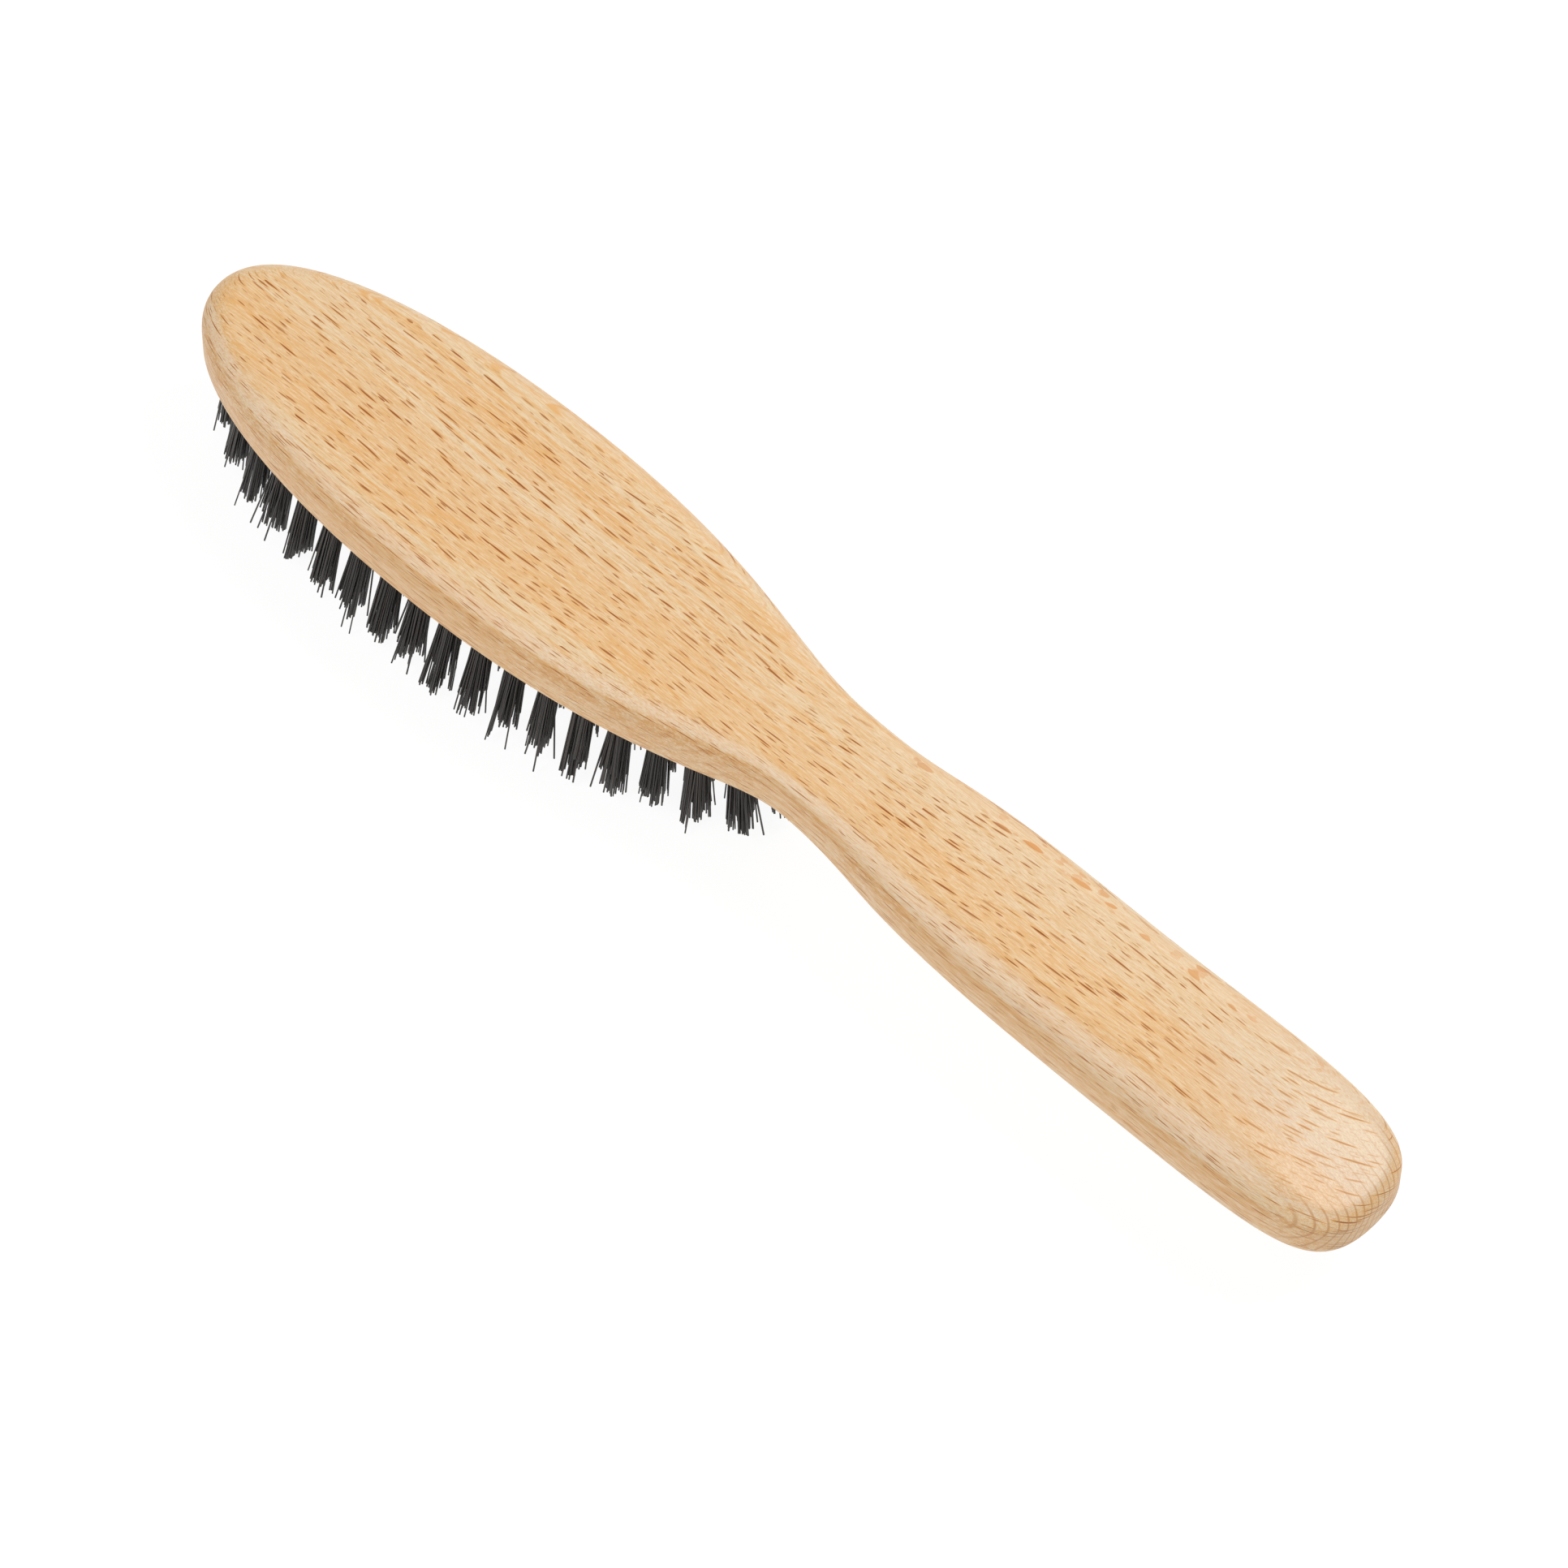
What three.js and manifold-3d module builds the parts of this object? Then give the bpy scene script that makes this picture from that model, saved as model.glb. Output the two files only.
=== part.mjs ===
// Clothes brush: a one-piece beech body with a long oval head, a waist and a rounded grip,
// and bristle tufts set in blind holes that are drilled in the head's flat underside.
//
// Units are millimetres and +Z is up. The bristles point down and the row stands on their tips.
// The shape is worked out with x = 0 at the head's tip and z = 0 on the head's underside.
// The group at the end moves it so that the origin is in the middle of the tips' plane.
//
// Each body section is a rounded rectangle. Its width comes from the plan outline, and its top,
// bottom and edge radii blend from the head's values to the grip's along the neck.

import * as THREE from 'three';
import { mergeVertices } from 'three/addons/utils/BufferGeometryUtils.js';
import Module from 'manifold-3d';

// ---------------------------------------------------------------- driving dimensions

// Body, plan
const BODY_LENGTH = 240;
const HEAD_HALF_WIDTH = 20;
const HEAD_WIDEST_X = 61.5;
const NECK_HALF_WIDTH = 9.9;
const NECK_X = 129.5;
const GRIP_HALF_WIDTH = 13.25;
const GRIP_WIDEST_X = 181;

// Fullness of the outline: how far each arc runs on before it turns
const TIP_BLUNTNESS = 13.5;
const HEAD_FRONT_FULLNESS = 34;
const HEAD_REAR_FULLNESS = 40.5;
const NECK_FRONT_FULLNESS = 13.5;
const NECK_REAR_FULLNESS = 17.75;
const GRIP_FRONT_FULLNESS = 37;
const GRIP_REAR_FULLNESS = 46;
const END_BLUNTNESS = 16;

// Body, side
const HEAD_THICKNESS = 10.5;
const GRIP_THICKNESS = 16;
const GRIP_BACK_DROP = 2;
const BLEND_START_X = 117;
const BLEND_END_X = 196;
const LOWER_EDGE_START_X = 111;
const HEAD_TOP_RADIUS = 5;
const HEAD_LOWER_RADIUS = 1.25;
const GRIP_TOP_RADIUS = 6.8;
const GRIP_LOWER_RADIUS = 6.5;
const END_ROLL_LENGTH = 29;
const END_ROLL_POWER = 2.2;
const END_ROLL_TOP = 4.9;
const END_ROLL_BOTTOM = 2.8;
const END_EDGE_RADIUS = 2.2;

// The waist in the neck, where the underside is scooped and the back's edges are tighter
const WAIST_X = 128;
const WAIST_REACH = 11.5;
const WAIST_SCOOP = 1.1;
const WAIST_EDGE_CUT = 1.65;

// Bristle field
const RING_INSET = 4.8;
const RING_TIP_DRAW_IN = 1.2;
const RING_TIP_REACH = 24;
const RING_END_DRAW_IN = 1.8;
const RING_CLOSE_X = 95;
const RING_END_X = 116.5;
const END_TUFT_STEP = 2;
const TUFTS_PER_SIDE = 17;
const RING_COUNT = 2 * TUFTS_PER_SIDE + 3;
const FREE_LENGTH = 18;
const SPLAY_PER_MM = 0.0196;
const FAN_PER_MM = 0.0012;

// Hole and tuft
const HOLE_RADIUS = 1.75;
const HOLE_DEPTH = 7;
const CLEARANCE = 0.3;
const TIP_RADIUS = 2.3;
const ROW_TIP_RADIUS = 3.9;
const TUFT_SIDES = 8;

// Mesh fineness
const ARC_STEPS = [14, 14, 10, 14];
const TOP_ANGLES = [90, 68, 50, 33, 16, 0];
const LOWER_ANGLES = [0, 30, 60, 90];

// ---------------------------------------------------------------- materials

function wood() {
  return new THREE.MeshStandardMaterial({ color: 0xe3b883, roughness: 0.5, metalness: 0 });
}

function bristle() {
  return new THREE.MeshStandardMaterial({ color: 0x2c2725, roughness: 0.55, metalness: 0 });
}

// ---------------------------------------------------------------- solids

const wasm = await Module();
wasm.setup();

function toSolid(geometry) {
  const bare = geometry.clone();
  bare.deleteAttribute('normal');
  bare.deleteAttribute('uv');
  const merged = mergeVertices(bare, 1e-5);
  return new wasm.Manifold(new wasm.Mesh({
    numProp: 3,
    vertProperties: new Float32Array(merged.attributes.position.array),
    triVerts: new Uint32Array(merged.index.array),
  }));
}

function toGeometry(solid) {
  const mesh = solid.getMesh();
  const geometry = new THREE.BufferGeometry();
  geometry.setAttribute('position', new THREE.BufferAttribute(new Float32Array(mesh.vertProperties), 3));
  geometry.setIndex(new THREE.BufferAttribute(new Uint32Array(mesh.triVerts), 1));
  geometry.computeVertexNormals();
  return geometry;
}

// A closed skin over rings of points, each ring running the same way round.
// The first and last rings are closed by the triangles that capOf gives for their point count.
function loft(rings, capOf) {
  const count = rings[0].length;
  const positions = rings.flat().flatMap((p) => [p.x, p.y, p.z]);
  const index = [];
  for (let r = 0; r + 1 < rings.length; r += 1) {
    for (let i = 0; i < count; i += 1) {
      const a = r * count + i;
      const b = r * count + (i + 1) % count;
      index.push(a, b, b + count, a, b + count, a + count);
    }
  }
  const last = (rings.length - 1) * count;
  for (const [i, j, k] of capOf(count)) {
    index.push(i, k, j);
    index.push(last + i, last + j, last + k);
  }
  const geometry = new THREE.BufferGeometry();
  geometry.setAttribute('position', new THREE.Float32BufferAttribute(positions, 3));
  geometry.setIndex(index);
  return geometry;
}

// A fan, for small round ends.
function fanCap(count) {
  return Array.from({ length: count - 2 }, (_, i) => [0, i + 1, i + 2]);
}

// Cross strips between the two sides of a ring that is symmetric about X, so that
// every strip of a flat face stays flat.
function stripCap(count) {
  const triangles = [];
  const half = count / 2;
  for (let i = 0; i < half; i += 1) {
    const left = (count - i) % count;
    const nextLeft = count - i - 1;
    if (i > 0) triangles.push([left, i, i + 1]);
    if (i + 1 < half) triangles.push([left, i + 1, nextLeft]);
  }
  return triangles;
}

// ---------------------------------------------------------------- body

const V = (x, y) => new THREE.Vector2(x, y);

// Half of the plan outline, from the tip to the end of the grip.
const outlineArcs = [
  new THREE.CubicBezierCurve(
    V(0, 0),
    V(0, TIP_BLUNTNESS),
    V(HEAD_WIDEST_X - HEAD_FRONT_FULLNESS, HEAD_HALF_WIDTH),
    V(HEAD_WIDEST_X, HEAD_HALF_WIDTH),
  ),
  new THREE.CubicBezierCurve(
    V(HEAD_WIDEST_X, HEAD_HALF_WIDTH),
    V(HEAD_WIDEST_X + HEAD_REAR_FULLNESS, HEAD_HALF_WIDTH),
    V(NECK_X - NECK_FRONT_FULLNESS, NECK_HALF_WIDTH),
    V(NECK_X, NECK_HALF_WIDTH),
  ),
  new THREE.CubicBezierCurve(
    V(NECK_X, NECK_HALF_WIDTH),
    V(NECK_X + NECK_REAR_FULLNESS, NECK_HALF_WIDTH),
    V(GRIP_WIDEST_X - GRIP_FRONT_FULLNESS, GRIP_HALF_WIDTH),
    V(GRIP_WIDEST_X, GRIP_HALF_WIDTH),
  ),
  new THREE.CubicBezierCurve(
    V(GRIP_WIDEST_X, GRIP_HALF_WIDTH),
    V(GRIP_WIDEST_X + GRIP_REAR_FULLNESS, GRIP_HALF_WIDTH),
    V(BODY_LENGTH, END_BLUNTNESS),
    V(BODY_LENGTH, 0),
  ),
];

// Points on the half outline, each with the outward normal there.
function outlineStations(stepsPerArc) {
  const stations = [];
  outlineArcs.forEach((arc, a) => {
    for (let s = a === 0 ? 0 : 1; s <= stepsPerArc[a]; s += 1) {
      const point = arc.getPoint(s / stepsPerArc[a]);
      const tangent = arc.getTangent(s / stepsPerArc[a]);
      stations.push({ x: point.x, y: point.y, nx: -tangent.y, ny: tangent.x });
    }
  });
  return stations;
}

// How far down the ends roll at x, from 0 before the roll to 1 at the very end.
function endRoll(x) {
  const part = THREE.MathUtils.clamp((x - BODY_LENGTH + END_ROLL_LENGTH) / END_ROLL_LENGTH, 0, 1);
  return part ** END_ROLL_POWER;
}

// How strongly the neck's waist is felt at x, 1 in its middle and fading out either way.
function waist(x) {
  return Math.exp(-(((x - WAIST_X) / WAIST_REACH) ** 2));
}

// A value that blends from the head's to the grip's along the neck.
function along(x, head, grip, start = BLEND_START_X) {
  return THREE.MathUtils.lerp(head, grip, THREE.MathUtils.smoothstep(x, start, BLEND_END_X));
}

const GRIP_TOP = HEAD_THICKNESS - GRIP_BACK_DROP;
const topAt = (x) => along(x, HEAD_THICKNESS, GRIP_TOP) - END_ROLL_TOP * endRoll(x);

function bottomAt(x) {
  return along(x, 0, GRIP_TOP - GRIP_THICKNESS) + WAIST_SCOOP * waist(x) + END_ROLL_BOTTOM * endRoll(x);
}

// The edge radius at x: the grip's sides tighten to END_EDGE_RADIUS round its end.
function edgeRadius(x, isTop) {
  const side = isTop
    ? along(x, HEAD_TOP_RADIUS, GRIP_TOP_RADIUS) - WAIST_EDGE_CUT * waist(x)
    : along(x, HEAD_LOWER_RADIUS, GRIP_LOWER_RADIUS, LOWER_EDGE_START_X);
  return THREE.MathUtils.lerp(side, END_EDGE_RADIUS, endRoll(x));
}

// One level of the body: the outline moved inwards as its edge turns over by the angle.
function bodyRing(stations, degrees, isTop) {
  const angle = THREE.MathUtils.degToRad(degrees);
  const side = stations.map((s) => {
    const radius = edgeRadius(s.x, isTop);
    const inset = radius * (1 - Math.cos(angle));
    const rise = radius * (1 - Math.sin(angle));
    const x = s.x - inset * s.nx;
    const z = isTop ? topAt(x) - rise : bottomAt(x) + rise;
    return new THREE.Vector3(x, s.y - inset * s.ny, z);
  });
  const tip = side[0].setY(0);
  const end = side[side.length - 1].setY(0);
  const right = side.slice(1, -1);
  const left = right.map((p) => new THREE.Vector3(p.x, -p.y, p.z));
  return [tip, ...left, end, ...right.reverse()];
}

function bodyBlank() {
  const stations = outlineStations(ARC_STEPS);
  const lower = [...LOWER_ANGLES].reverse().map((angle) => bodyRing(stations, angle, false));
  const upper = [...TOP_ANGLES].reverse().map((angle) => bodyRing(stations, angle, true));
  return toSolid(loft([...lower, ...upper], stripCap));
}

// ---------------------------------------------------------------- tufts

// How far the ring of tufts stands inside the outline: more at the tip and where it closes in.
function ringInset(x) {
  const nearTip = Math.max(1 - x / RING_TIP_REACH, 0);
  const nearEnd = Math.max((x - RING_CLOSE_X) / (RING_END_X - RING_CLOSE_X), 0);
  return RING_INSET + RING_TIP_DRAW_IN * nearTip ** 2 + RING_END_DRAW_IN * nearEnd ** 2;
}

// Root places on the head's underside. The ring follows the outline, evenly spaced round the
// tip. The centre row stands level with it and the inner rows between.
function ringPlaces() {
  const inset = outlineStations([60, 60, 1, 1])
    .map((s) => V(s.x - ringInset(s.x) * s.nx, s.y - ringInset(s.x) * s.ny))
    .filter((p) => p.x <= RING_END_X);
  const right = new THREE.SplineCurve(inset);
  const side = right.getSpacedPoints((RING_COUNT - 1) / 2);
  return side.map((p) => V(p.x, Math.max(p.y, 0)));
}

// The first place is at the tip, the second beside it, and the rest run down the side.
const ring = ringPlaces();
const sidePlaces = ring.slice(2);
// The centre row's last tuft steps out to close the ring's end, and the inner rows stop short of it.
const centrePlaces = sidePlaces.map((p) => V(p.x, 0));
centrePlaces[TUFTS_PER_SIDE - 1].x += END_TUFT_STEP;
const innerPlaces = sidePlaces.slice(1, -1).map((p, i) => {
  const before = sidePlaces[i];
  return V((p.x + before.x) / 2, (p.y + before.y) / 4);
});

// The centre of a tuft's axis at height z, for a tuft rooted at place.
function axisPoint(place, z) {
  return V(
    place.x - z * FAN_PER_MM * (place.x - HEAD_WIDEST_X),
    place.y - z * SPLAY_PER_MM * place.y,
  );
}

// A slanted column through the levels, each [z, radius along X, radius along Y].
function column(place, levels) {
  const rings = levels.map(([z, radiusX, radiusY]) => {
    const centre = axisPoint(place, z);
    return Array.from({ length: TUFT_SIDES }, (_, i) => {
      const turn = ((i + 0.5) / TUFT_SIDES) * 2 * Math.PI;
      return new THREE.Vector3(
        centre.x + radiusX * Math.cos(turn),
        centre.y + radiusY * Math.sin(turn),
        z,
      );
    });
  });
  return toSolid(loft(rings, fanCap));
}

function hole(place) {
  return column(place, [[-1, HOLE_RADIUS, HOLE_RADIUS], [HOLE_DEPTH, HOLE_RADIUS, HOLE_RADIUS]]);
}

// Folded bristles: straight inside the hole, then opening out to the trimmed tips.
function tuft(place, tipRadiusX) {
  const root = HOLE_RADIUS - CLEARANCE;
  return column(place, [
    [-FREE_LENGTH, tipRadiusX, TIP_RADIUS],
    [0, root, root],
    [HOLE_DEPTH - CLEARANCE, root, root],
  ]);
}

// ---------------------------------------------------------------- assembly

const brush = new THREE.Group();
brush.position.set(-BODY_LENGTH / 2, 0, FREE_LENGTH);

function add(name, solid, material) {
  const mesh = new THREE.Mesh(toGeometry(solid), material);
  mesh.name = name;
  brush.add(mesh);
}

const mirrored = (places) => places.map((p) => V(p.x, -p.y));
const joined = (solids) => solids.reduce((sum, solid) => sum.add(solid));
const numbered = (name, i) => `${name}_${String(i + 1).padStart(2, '0')}`;

const allPlaces = [
  ring[0],
  ...ring.slice(1),
  ...mirrored(ring.slice(1)),
  ...centrePlaces,
  ...innerPlaces,
  ...mirrored(innerPlaces),
];

add('brush_body', bodyBlank().subtract(joined(allPlaces.map(hole))), wood());

add('tuft_tip_centre', tuft(ring[0], TIP_RADIUS), bristle());
add('tuft_tip_right', tuft(ring[1], TIP_RADIUS), bristle());
add('tuft_tip_left', tuft(mirrored(ring)[1], TIP_RADIUS), bristle());

sidePlaces.forEach((place, i) => add(numbered('tuft_right', i), tuft(place, TIP_RADIUS), bristle()));
mirrored(sidePlaces).forEach((place, i) => {
  add(numbered('tuft_left', i), tuft(place, TIP_RADIUS), bristle());
});
centrePlaces.forEach((place, i) => add(numbered('tuft_centre', i), tuft(place, TIP_RADIUS), bristle()));

// The inner rows' tips spread until neighbours meet, so each of these rows is one solid.
const rowTuft = (place) => tuft(place, ROW_TIP_RADIUS);
add('inner_row_right', joined(innerPlaces.map(rowTuft)), bristle());
add('inner_row_left', joined(mirrored(innerPlaces).map(rowTuft)), bristle());

export default brush;
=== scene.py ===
"""Looks of the clothes brush: a drilled beech body, folded bristle tufts and their wire anchors."""

import math
import random
from types import SimpleNamespace

import bmesh
import bpy
from mathutils import Matrix, Vector


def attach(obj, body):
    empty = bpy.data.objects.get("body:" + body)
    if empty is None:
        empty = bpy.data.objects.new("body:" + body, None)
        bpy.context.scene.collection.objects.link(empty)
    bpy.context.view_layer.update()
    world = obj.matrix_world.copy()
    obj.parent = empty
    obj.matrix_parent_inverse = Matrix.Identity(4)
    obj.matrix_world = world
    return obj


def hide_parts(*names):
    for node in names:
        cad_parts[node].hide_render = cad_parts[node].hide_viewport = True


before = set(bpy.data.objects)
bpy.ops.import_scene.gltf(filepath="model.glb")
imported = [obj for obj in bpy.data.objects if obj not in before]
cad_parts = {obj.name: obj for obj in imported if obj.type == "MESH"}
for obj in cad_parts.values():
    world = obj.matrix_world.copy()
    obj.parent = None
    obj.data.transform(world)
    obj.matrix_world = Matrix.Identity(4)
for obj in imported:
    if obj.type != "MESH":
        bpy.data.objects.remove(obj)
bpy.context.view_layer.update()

# Lengths are in millimetres, as in the design, up to the floor. MM turns them into metres.
MM = 0.001

# Body, plan. x runs from the head's tip.
BODY_LENGTH = 240
HEAD_HALF_WIDTH = 20
HEAD_WIDEST_X = 61.5
NECK_HALF_WIDTH = 9.9
NECK_X = 129.5
GRIP_HALF_WIDTH = 13.25
GRIP_WIDEST_X = 181
TIP_BLUNTNESS = 13.5
HEAD_FRONT_FULLNESS = 34
HEAD_REAR_FULLNESS = 40.5
NECK_FRONT_FULLNESS = 13.5
NECK_REAR_FULLNESS = 17.75
GRIP_FRONT_FULLNESS = 37
GRIP_REAR_FULLNESS = 46
END_BLUNTNESS = 16

# Body, side. z runs up from the head's underside.
HEAD_THICKNESS = 10.5
GRIP_THICKNESS = 16
GRIP_TOP = HEAD_THICKNESS - 2
BLEND_START_X = 117
BLEND_END_X = 196
LOWER_EDGE_START_X = 111
HEAD_TOP_RADIUS = 5
HEAD_LOWER_RADIUS = 1.25
GRIP_TOP_RADIUS = 6.8
GRIP_LOWER_RADIUS = 6.5
END_ROLL_LENGTH = 29
END_ROLL_POWER = 2.2
END_ROLL_TOP = 4.9
END_ROLL_BOTTOM = 2.8
END_EDGE_RADIUS = 2.2

# The waist in the neck, where the underside is scooped and the back's edges are tighter
WAIST_X = 128
WAIST_REACH = 11.5
WAIST_SCOOP = 1.1
WAIST_EDGE_CUT = 1.65

# Bristle field
RING_INSET = 4.8
RING_TIP_DRAW_IN = 1.2
RING_TIP_REACH = 24
RING_END_DRAW_IN = 1.8
RING_CLOSE_X = 95
RING_END_X = 116.5
END_TUFT_STEP = 2
RING_GAPS_PER_SIDE = 18
FREE_LENGTH = 18
SPLAY_PER_MM = 0.0196
FAN_PER_MM = 0.0012
HOLE_RADIUS = 1.75
HOLE_DEPTH = 7
HOLE_OVERCUT = 1
HOLE_SIDES = 16

# The body's mesh: steps on each arc of half the outline and on its edges, and the inset of the flat
# faces' outer border. The ring of tufts follows the first two arcs alone, in finer steps.
OUTLINE_STEPS = (44, 40, 30, 56)
RING_STEPS = (60, 60, 1, 1)
TOP_EDGE_STEPS = 12
LOWER_EDGE_STEPS = 9
TOP_BORDER = 0.7
LOWER_BORDER = 0.5
HOLE_EDGE_ANGLE = 40

# Bristles. A bundle narrows to its root. FOLD_GAP is the least distance across the anchor at which a
# bristle stands, as a share of the bundle's radius. TUFT_TURN is the spread of the anchors' turns.
BRISTLES_PER_TUFT = 46
BRISTLE_RADIUS = 0.14
BRISTLE_RADIUS_RANGE = (0.85, 1.15)
BRISTLE_SIDES = 5
BRISTLE_EDGE_ANGLE = 75
BUNDLE_ROOT_RADIUS = 1.55
BUNDLE_TIP_RADIUS = 2.1
BUNDLE_ENTRY_Z = 0.3
FOLD_GAP = 0.12
TUFT_TURN = 0.12

# Tips. A tuft's bristles gather in clumps that end at different heights, and a few stray from them.
CLUMPS_PER_TUFT = 22
CLUMP_LEAN = 0.32
LEAST_RISE = 0.3
RISE_RANGE = 6.4
RISE_POWER = 0.95
RISE_TAPER = 0.12
RISE_JITTER = 0.12
TIP_DRIFT = 0.08
BEND_DRIFT = 0.04
STRAY_SHARE = 0.07
STRAY_DRIFT = 0.8
STRAY_RISE = (0.05, 2.0)
END_FAN = 0.7
END_FAN_START = 102

# Anchors
ANCHOR_WIDTH = 3.8
ANCHOR_HEIGHT = 1.5
ANCHOR_THICKNESS = 0.3
ANCHOR_TOP = 5.2
ANCHOR_BOW = 0.12
ANCHOR_STEPS = 6
ANCHOR_EASE = 0.06
ANCHOR_EDGE_ANGLE = 60

rng = random.Random(11)


def place(x, y, z):
    """A design point, in the row frame in metres."""
    return Vector(((x - BODY_LENGTH / 2) * MM, y * MM, (z + FREE_LENGTH) * MM))


def new_object(name, verts, faces, material=None, smooth=True):
    mesh = bpy.data.meshes.new(name)
    mesh.from_pydata(verts, [], faces)
    if material:
        mesh.materials.append(material)
    if smooth:
        mesh.shade_smooth()
    piece = bpy.data.objects.new(name, mesh)
    bpy.context.scene.collection.objects.link(piece)
    return piece


def stand_in(piece, node):
    """Lets a piece stand for a CAD node, with its finish, on the one body."""
    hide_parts(node)
    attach(piece, "root")


def anchor_offset(heading, u, v):
    """An offset of u along a tuft's anchor and v across it, in x and y."""
    return u * math.cos(heading) - v * math.sin(heading), u * math.sin(heading) + v * math.cos(heading)


# ---------------------------------------------------------------- node helper


class Nodes:
    """Short calls for building one material's node tree."""

    def __init__(self, name):
        self.material = bpy.data.materials.new(name)
        self.material.use_nodes = True
        self.tree = self.material.node_tree
        self.tree.nodes.clear()

    def add(self, kind, inputs=None, **settings):
        """A new node. Its inputs are values, or sockets to link."""
        node = self.tree.nodes.new("ShaderNode" + kind)
        for key, value in settings.items():
            setattr(node, key, value)
        for key, value in (inputs or {}).items():
            self.feed(node.inputs[key], value)
        return node

    def feed(self, socket, value):
        if isinstance(value, bpy.types.NodeSocket):
            self.tree.links.new(value, socket)
        else:
            socket.default_value = value

    def math(self, operation, *values):
        node = self.add("Math", operation=operation)
        for socket, value in zip(node.inputs, values):
            self.feed(socket, value)
        return node.outputs[0]

    def product(self, first, *others):
        for other in others:
            first = self.math("MULTIPLY", first, other)
        return first

    def rest(self, value):
        """What is left of 1."""
        return self.math("SUBTRACT", 1.0, value)

    def vector(self, operation, *values):
        node = self.add("VectorMath", operation=operation)
        for socket, value in zip(node.inputs, values):
            self.feed(socket, value)
        return node.outputs[0]

    def ramp(self, value, low, high, out_low=0.0, out_high=1.0):
        """A smooth step from low to high."""
        node = self.add(
            "MapRange",
            {"Value": value, "From Min": low, "From Max": high, "To Min": out_low, "To Max": out_high},
            interpolation_type="SMOOTHSTEP",
        )
        return node.outputs["Result"]

    def noise(self, vector, detail, roughness=0.5, scale=1.0):
        inputs = {"Vector": vector, "Scale": scale, "Detail": detail, "Roughness": roughness}
        return self.add("TexNoise", inputs).outputs["Fac"]

    def parts(self, vector):
        """A vector's X, Y and Z."""
        return self.add("SeparateXYZ", {"Vector": vector}).outputs

    def mix(self, factor, one, two):
        node = self.add("Mix", data_type="RGBA")
        self.feed(node.inputs[0], factor)
        self.feed(node.inputs[6], one)
        self.feed(node.inputs[7], two)
        return node.outputs[2]

    def finish(self, **inputs):
        shader = self.add("BsdfPrincipled", {key.replace("_", " "): value for key, value in inputs.items()})
        output = self.add("OutputMaterial")
        self.tree.links.new(shader.outputs[0], output.inputs["Surface"])
        return self.material


# ---------------------------------------------------------------- materials


# Noise cells per metre along X, Y and Z
BRISTLE_MOTTLE = (900, 900, 160)
WIRE_LINES = (300, 300, 9000)

# Colours are linear RGBA.
LIGHT_BRISTLE = (0.052, 0.042, 0.036, 1)
DARK_BRISTLE = (0.012, 0.009, 0.008, 1)
LIGHT_WIRE = (0.70, 0.68, 0.63, 1)
DARK_WIRE = (0.50, 0.47, 0.42, 1)
LIGHT_PAPER = (0.11, 0.11, 0.11, 1)
DARK_PAPER = (0.09, 0.09, 0.09, 1)
LIGHT_WOOD = (0.75, 0.545, 0.315, 1)
WARM_WOOD = (0.74, 0.455, 0.205, 1)
ORANGE_WOOD = (0.74, 0.405, 0.14, 1)
PALE_WOOD = (0.76, 0.60, 0.40, 1)
# A painted highlight where the grip's back turns down to the end
END_HIGHLIGHT_WOOD = (0.69, 0.55, 0.41, 1)
# A painted highlight along the back's left edge
EDGE_HIGHLIGHT_WOOD = (0.78, 0.60, 0.43, 1)
# A painted shade band on the left side below the edge
SHADE_BAND_WOOD = (0.64, 0.34, 0.12, 1)
LIGHT_FIBRE = (0.83, 0.66, 0.45, 1)
DARK_FIBRE = (0.68, 0.37, 0.13, 1)
PORE = (0.58, 0.28, 0.09, 1)
RAY_HALO = (0.73, 0.36, 0.08, 1)
DARK_RAY = (0.28, 0.06, 0.0, 1)
WIDE_RAY = (0.68, 0.30, 0.08, 1)
RING_LINE = (0.50, 0.22, 0.06, 1)

# The grain runs along X. The ray sheets lie along it and rise to the left side, so they show as dashes
# on the back, thin lines on the left side and wide flecks along the grip's right edge.
SHEET_LEAN = math.radians(-63)
SWAY_SIZE = (45, 14, 14)
SWAY_REACH = (0, 2.0, 2.6)

# Cell sizes of the noises: along the grain, through the ray sheets and down them
BAND_SIZE = (220, 14, 3.0)
STREAK_SIZE = (40, 0.7, 0.6)
CLOUD_SIZE = (60, 22, 22)
FIBRE_SIZE = (3.2, 0.13, 0.13)
PORE_SIZE = (0.8, 0.11, 0.11)
RAGGEDNESS = 10.0
RING_PITCH = 1.3
BUMP_HEIGHT = 0.04

# Three sizes of ray flecks: the size of a cell and a fleck's half-size, the share of the cells that have
# a fleck, a shift of the cells, and how strongly a fleck's core and its halo show
RAYS = (
    ((5.4, 1.0, 10.0), (2.1, 0.07, 5.0), 0.75, (0.0, 0.0, 0.0), 1.0, 0.8),
    ((3.5, 0.66, 6.0), (1.3, 0.055, 3.0), 0.6, (7.3, 3.1, 5.7), 0.9, 0.68),
    ((2.2, 0.38, 4.0), (0.8, 0.038, 2.0), 0.6, (2.9, 8.3, 1.1), 0.5, 0.4),
)
# A fleck's length is this much of its size at least, and up to the range more.
RAY_LEAST_LENGTH = 0.6
RAY_LENGTH_RANGE = 0.8
RAY_FADE = 0.3
HALO_REACH = 1.1
WIDE_RAY_THINNING = 0.55


def cells_of(n, vector, size):
    """Position counted in cells of the given size."""
    return n.vector("MULTIPLY", vector, tuple(1 / s for s in size))


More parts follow.
